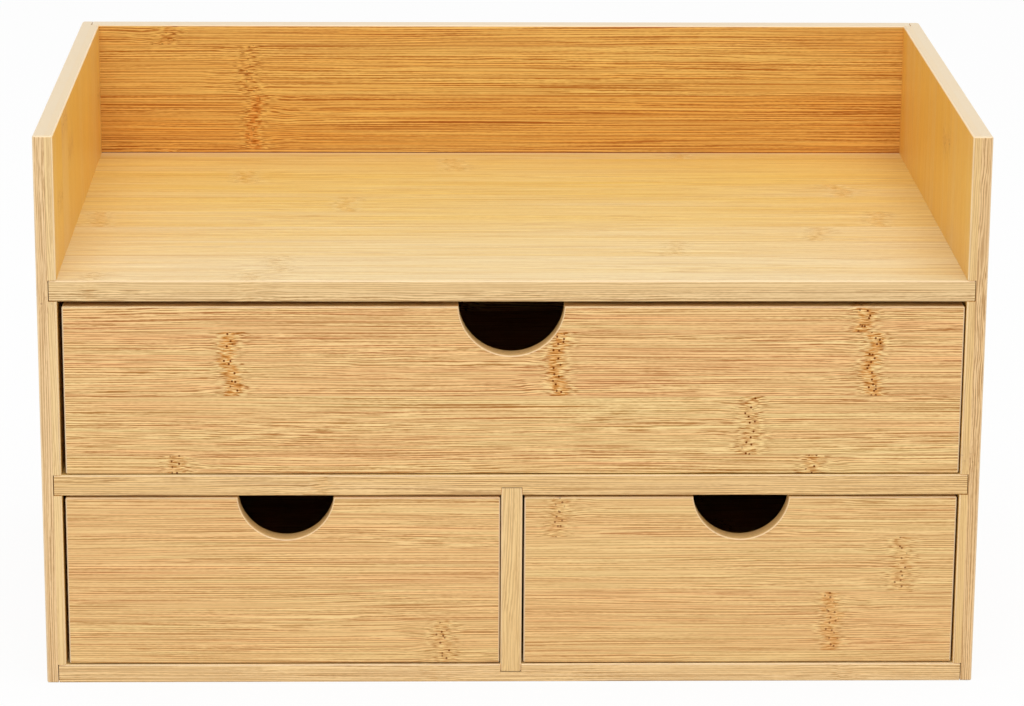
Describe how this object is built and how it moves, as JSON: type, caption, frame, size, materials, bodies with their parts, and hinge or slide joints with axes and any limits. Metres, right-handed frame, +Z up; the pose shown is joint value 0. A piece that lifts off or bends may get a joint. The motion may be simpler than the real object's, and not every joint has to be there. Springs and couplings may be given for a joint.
{
  "type": "desktop mini drawers",
  "caption": "Bamboo desktop organizer: an open tray with side panels and a back above one wide drawer and a pair of small drawers with thumb notches.",
  "frame": {"origin": "middle of the underside, on the surface that it stands on", "axes": "+Z up, +X to the right seen from the front, fronts face -Y; drawers slide out along -Y"},
  "size_m": [0.33, 0.206, 0.1993],
  "materials": {
    "front_bamboo": "fine-grained natural bamboo, clear satin lacquer",
    "shelf_bamboo": "natural bamboo, clear satin lacquer",
    "side_bamboo": "natural bamboo with upright grain, clear satin lacquer",
    "back_bamboo": "natural bamboo with fine level grain, clear satin lacquer",
    "drawer_bamboo": "natural bamboo, clear satin lacquer",
    "base_board": "thin bamboo board, clear satin lacquer"
  },
  "bodies": {
    "carcass": {"left_side": "side_bamboo", "right_side": "side_bamboo", "tray_shelf": "shelf_bamboo", "middle_shelf": "shelf_bamboo", "bottom_panel": "shelf_bamboo", "divider": "side_bamboo", "back_panel": "back_bamboo"},
    "wide_drawer": {"wide_drawer_front": "front_bamboo", "wide_drawer_left_wall": "drawer_bamboo", "wide_drawer_right_wall": "drawer_bamboo", "wide_drawer_back": "drawer_bamboo", "wide_drawer_base": "base_board"},
    "left_drawer": {"left_drawer_front": "front_bamboo", "left_drawer_left_wall": "drawer_bamboo", "left_drawer_right_wall": "drawer_bamboo", "left_drawer_back": "drawer_bamboo", "left_drawer_base": "base_board"},
    "right_drawer": {"right_drawer_front": "front_bamboo", "right_drawer_left_wall": "drawer_bamboo", "right_drawer_right_wall": "drawer_bamboo", "right_drawer_back": "drawer_bamboo", "right_drawer_base": "base_board"}
  },
  "joints": [
    {"name": "wide_drawer_slide", "type": "slide", "parent": "carcass", "child": "wide_drawer", "axis": [0, -1, 0], "range_m": [0, 0.145]},
    {"name": "left_drawer_slide", "type": "slide", "parent": "carcass", "child": "left_drawer", "axis": [0, -1, 0], "range_m": [0, 0.145]},
    {"name": "right_drawer_slide", "type": "slide", "parent": "carcass", "child": "right_drawer", "axis": [0, -1, 0], "range_m": [0, 0.145]}
  ]
}
